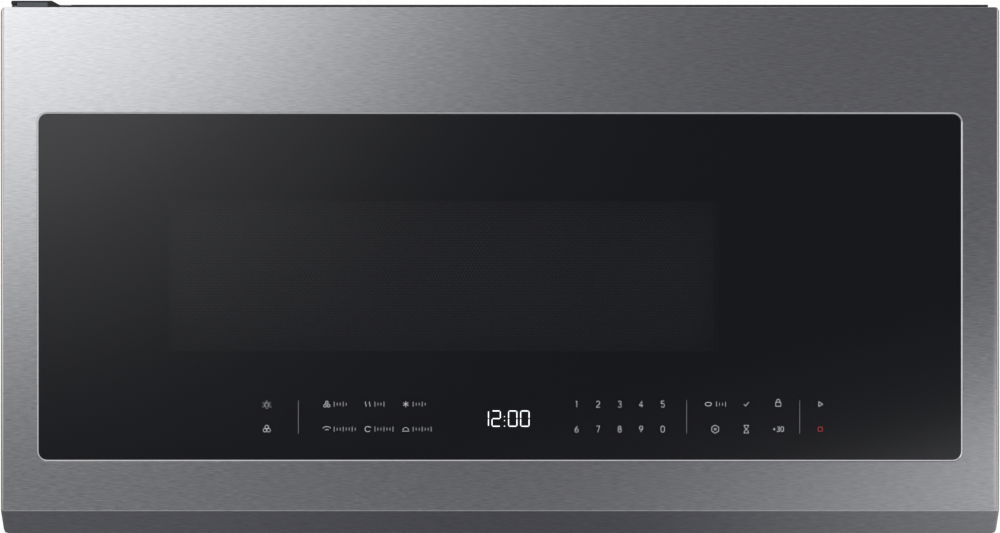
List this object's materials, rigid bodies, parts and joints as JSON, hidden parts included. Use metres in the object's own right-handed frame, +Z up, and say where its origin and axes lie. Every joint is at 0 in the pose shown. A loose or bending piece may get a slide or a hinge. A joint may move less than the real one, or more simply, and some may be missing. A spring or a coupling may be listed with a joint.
{
  "type": "over-the-range microwave oven",
  "caption": "Wall-hung microwave oven with a full-front side-hinged door, turntable, vent blower, duct collar and grease filters.",
  "frame": {"origin": "centre of the wall plate's rear face, level with the middle of the cabinet", "axes": "+X to the right seen from the front, +Y back into the wall, +Z up"},
  "size_m": [0.759, 0.4004, 0.4218],
  "materials": {
    "stainless": "horizontally brushed",
    "polished_steel": "polished",
    "zinc_steel": "zinc-coated",
    "core_steel": "plain",
    "dark_paint": "semi-matte",
    "oven_enamel": "smooth enamel",
    "black_plastic": "fine matte",
    "grey_plastic": "matte",
    "white_plastic": "matte",
    "circuit_board": "lacquered",
    "carbon_pad": "fibrous",
    "mica": "flaky",
    "black_glass": "gloss",
    "clear_glass": "gloss",
    "aluminium": "satin",
    "copper": "enamelled wire"
  },
  "bodies": {
    "cabinet": {"wall_plate": "zinc_steel", "rear_plate": "zinc_steel", "side_panel_left": "dark_paint", "side_panel_right": "dark_paint", "top_plate": "zinc_steel", "base_plate": "dark_paint", "front_frame": "oven_enamel", "vent_grille": "black_plastic", "charcoal_filter": "carbon_pad", "cord_gland": "black_plastic", "hinge_bracket_upper": "zinc_steel", "hinge_bracket_lower": "zinc_steel", "hinge_cover": "black_plastic", "latch_body": "white_plastic", "cooktop_lamp_lens_left": "clear_glass", "cooktop_lamp_lens_right": "clear_glass", "oven_cavity": "oven_enamel", "oven_lamp": "white_plastic", "power_board": "circuit_board", "turntable_motor": "zinc_steel", "waveguide": "zinc_steel", "waveguide_cover": "mica", "magnetron": "aluminium", "component_shelf": "zinc_steel", "transformer_core": "core_steel", "transformer_winding": "copper", "hv_capacitor": "aluminium", "cooling_fan_shroud": "zinc_steel", "cooling_fan_motor": "core_steel", "blower_motor": "core_steel", "blower_housing_left": "zinc_steel", "blower_housing_right": "zinc_steel", "duct_collar": "zinc_steel"},
    "door": {"door_panel": "stainless", "window_trim": "polished_steel", "door_glass": "black_glass", "door_inner_frame": "black_plastic", "door_choke": "dark_paint", "door_screen": "dark_paint", "door_inner_window": "clear_glass", "door_back_cover": "black_plastic", "display_module": "black_plastic", "control_board": "circuit_board", "door_hinge_block_upper": "white_plastic", "door_hinge_block_lower": "white_plastic", "door_key_spring": "core_steel"},
    "door_key": {"door_key": "white_plastic"},
    "coupler": {"turntable_coupler": "white_plastic"},
    "tray": {"glass_tray": "clear_glass"},
    "roller_ring": {"roller_ring": "grey_plastic"},
    "roller_1": {"roller_1": "white_plastic"},
    "roller_2": {"roller_2": "white_plastic"},
    "roller_3": {"roller_3": "white_plastic"},
    "blower_rotor": {"blower_shaft": "core_steel", "blower_wheel_left": "white_plastic", "blower_wheel_right": "white_plastic"},
    "cooling_fan": {"cooling_fan": "black_plastic"},
    "damper": {"damper_flap": "aluminium"},
    "filter_left": {"grease_filter_left": "aluminium"},
    "filter_right": {"grease_filter_right": "aluminium"}
  },
  "joints": [
    {"name": "door_hinge", "type": "hinge", "parent": "cabinet", "child": "door", "pos_m": [-0.37, -0.368, 0], "axis": [0, 0, -1], "range_deg": [0, 100]},
    {"name": "door_key_slide", "type": "slide", "parent": "door", "child": "door_key", "axis": [0, 0, 1], "range_m": [0, 0.004], "stiffness_N_per_m": 300, "springref_m": -0.004, "deforming": ["door_key_spring"]},
    {"name": "turntable_spin", "type": "hinge", "parent": "cabinet", "child": "coupler", "pos_m": [-0.043, -0.1838, -0.12], "axis": [0, 0, 1], "continuous": true},
    {"name": "tray_lift", "type": "slide", "parent": "coupler", "child": "tray", "axis": [0, 0, 1], "range_m": [0, 0.04]},
    {"name": "roller_ring_spin", "type": "hinge", "parent": "cabinet", "child": "roller_ring", "pos_m": [-0.043, -0.1838, -0.12], "axis": [0, 0, 1], "continuous": true},
    {"name": "roller_1_spin", "type": "hinge", "parent": "roller_ring", "child": "roller_1", "pos_m": [0.062, -0.1838, -0.1197], "axis": [1, 0, 0], "continuous": true},
    {"name": "roller_2_spin", "type": "hinge", "parent": "roller_ring", "child": "roller_2", "pos_m": [-0.0955, -0.09287, -0.1197], "axis": [-0.5, 0.866, 0], "continuous": true},
    {"name": "roller_3_spin", "type": "hinge", "parent": "roller_ring", "child": "roller_3", "pos_m": [-0.0955, -0.27473, -0.1197], "axis": [-0.5, -0.866, 0], "continuous": true},
    {"name": "blower_spin", "type": "hinge", "parent": "cabinet", "child": "blower_rotor", "pos_m": [0, -0.088, 0.1563], "axis": [1, 0, 0], "continuous": true},
    {"name": "cooling_fan_spin", "type": "hinge", "parent": "cabinet", "child": "cooling_fan", "pos_m": [0.30745, -0.062, -0.0608], "axis": [0, 1, 0], "continuous": true},
    {"name": "damper_hinge", "type": "hinge", "parent": "cabinet", "child": "damper", "pos_m": [0, -0.051, 0.2068], "axis": [-1, 0, 0], "range_deg": [0, 80]},
    {"name": "filter_left_drop", "type": "slide", "parent": "cabinet", "child": "filter_left", "axis": [0, 0, -1], "range_m": [0, 0.06]},
    {"name": "filter_right_drop", "type": "slide", "parent": "cabinet", "child": "filter_right", "axis": [0, 0, -1], "range_m": [0, 0.06]}
  ],
  "couplings": [
    {"joint": "roller_ring_spin", "follows": "turntable_spin", "ratio": 0.5},
    {"joint": "roller_1_spin", "follows": "turntable_spin", "ratio": -6.5625},
    {"joint": "roller_2_spin", "follows": "turntable_spin", "ratio": -6.5625},
    {"joint": "roller_3_spin", "follows": "turntable_spin", "ratio": -6.5625}
  ]
}
